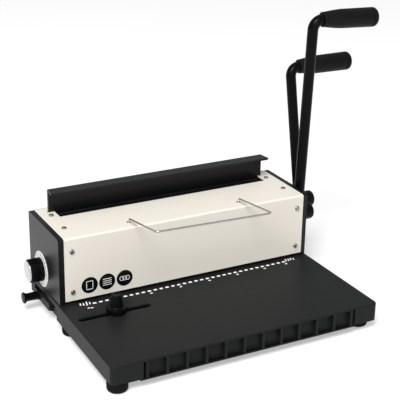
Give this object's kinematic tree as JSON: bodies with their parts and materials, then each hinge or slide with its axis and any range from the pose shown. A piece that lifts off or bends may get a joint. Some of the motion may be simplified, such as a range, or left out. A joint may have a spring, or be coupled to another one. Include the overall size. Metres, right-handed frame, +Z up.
{
  "type": "wire comb punching and closing machine",
  "caption": "Desk machine with two side levers: one punches a row of square holes in sheets, the other closes a wire comb along the top; ribbed base tray, size dial and chip drawer.",
  "frame": {"origin": "on the tray's top face, where the sheets lie, on the machine's middle line and under the front cover's face", "axes": "+X to the right along the machine towards the levers, +Y to the back, +Z up"},
  "size_m": [0.5175, 0.292, 0.3711],
  "materials": {
    "black_coat": "fine textured black powder coat",
    "cream_coat": "smooth satin cream powder coat",
    "rubber": "matt moulded rubber",
    "plated_steel": "zinc plated",
    "bright_screw": "nickel plated",
    "tool_steel": "ground and hardened",
    "machined_steel": "machined",
    "spring_steel": "bright drawn wire",
    "bronze": "sintered bronze",
    "chrome": "bright chrome",
    "lever_steel": "gloss black enamel",
    "hub_black": "satin black",
    "grip_black": "soft vinyl",
    "black_plastic": "moulded plastic",
    "scale_white": "printed scale, plain marks only",
    "satin_alu": "turned satin disc"
  },
  "bodies": {
    "frame": {"base_tray": "black_coat", "bottom_plate": "black_coat", "rubber_feet": "rubber", "foot_screws": "plated_steel", "drawer_rails": "plated_steel", "left_side_plate": "black_coat", "right_side_plate": "black_coat", "front_cover": "cream_coat", "rear_cover": "black_coat", "front_cover_screws": "bright_screw", "top_cover_screws": "bright_screw", "rear_cover_screws": "plated_steel", "guide_plate": "tool_steel", "die_plate": "tool_steel", "die_spacers": "plated_steel", "back_gauge": "machined_steel", "die_screws": "plated_steel", "guide_pins": "tool_steel", "punch_springs": "spring_steel", "punch_bushes": "bronze", "closer_bushes": "bronze", "closer_boss": "hub_black", "closer_guides": "machined_steel", "closer_springs": "spring_steel", "closer_anvil": "machined_steel", "anvil_stands": "plated_steel", "dial_plate": "scale_white", "dial_bush": "bronze", "wire_hanger": "chrome", "hanger_ferrules": "plated_steel"},
    "punch_arm": {"punch_shaft": "machined_steel", "punch_cams": "tool_steel", "punch_hub": "hub_black", "punch_hub_screw": "hub_black", "punch_lever": "lever_steel", "punch_grip": "grip_black"},
    "punch_carriage": {"punch_carrier": "machined_steel", "punch_retainer": "machined_steel", "retainer_screws": "plated_steel", "cam_pads": "tool_steel", "punch_pins": "tool_steel"},
    "closer_arm": {"closer_shaft": "machined_steel", "closer_hub": "hub_black", "closer_hub_screw": "hub_black", "closer_lever": "lever_steel", "closer_grip": "grip_black", "closer_cranks": "machined_steel", "crank_pins": "machined_steel"},
    "closer": {"closer_bar": "black_coat", "closer_brackets": "machined_steel", "bracket_screws": "plated_steel"},
    "dial": {"dial_knob": "black_plastic", "dial_cap": "satin_alu", "dial_shaft": "machined_steel", "stop_cam": "tool_steel"},
    "drawer": {"chip_drawer": "black_plastic", "drawer_pull": "black_plastic"},
    "paper_stop": {"stop_knob": "black_plastic", "stop_stud": "machined_steel", "clamp_plate": "machined_steel"}
  },
  "joints": [
    {"name": "punch_lever_pull", "type": "hinge", "parent": "frame", "child": "punch_arm", "pos_m": [0, 0.039, 0.0463], "axis": [1, 0, 0], "range_deg": [0, 85]},
    {"name": "punch_stroke", "type": "slide", "parent": "frame", "child": "punch_carriage", "axis": [0, 0, -1], "range_m": [0, 0.008], "stiffness_N_per_m": 2500, "springref_m": -0.012, "deforming": ["punch_springs"]},
    {"name": "closer_lever_pull", "type": "hinge", "parent": "frame", "child": "closer_arm", "pos_m": [0, 0.0729, 0.049], "axis": [1, 0, 0], "range_deg": [0, 63.3]},
    {"name": "closer_stroke", "type": "slide", "parent": "frame", "child": "closer", "axis": [0, 0, -1], "range_m": [0, 0.021], "stiffness_N_per_m": 700, "springref_m": -0.04, "deforming": ["closer_springs"]},
    {"name": "size_dial", "type": "hinge", "parent": "frame", "child": "dial", "pos_m": [-0.19, 0.066, 0.0241], "axis": [1, 0, 0], "range_deg": [0, 270]},
    {"name": "drawer_slide", "type": "slide", "parent": "frame", "child": "drawer", "axis": [-1, 0, 0], "range_m": [0, 0.2]},
    {"name": "stop_slide", "type": "slide", "parent": "frame", "child": "paper_stop", "axis": [1, 0, 0], "range_m": [-0.046, 0.043]}
  ],
  "couplings": [
    {"joint": "punch_stroke", "follows": "punch_lever_pull", "m_per_rad": 0.00539},
    {"joint": "closer_stroke", "follows": "closer_lever_pull", "m_per_rad": 0.019}
  ]
}
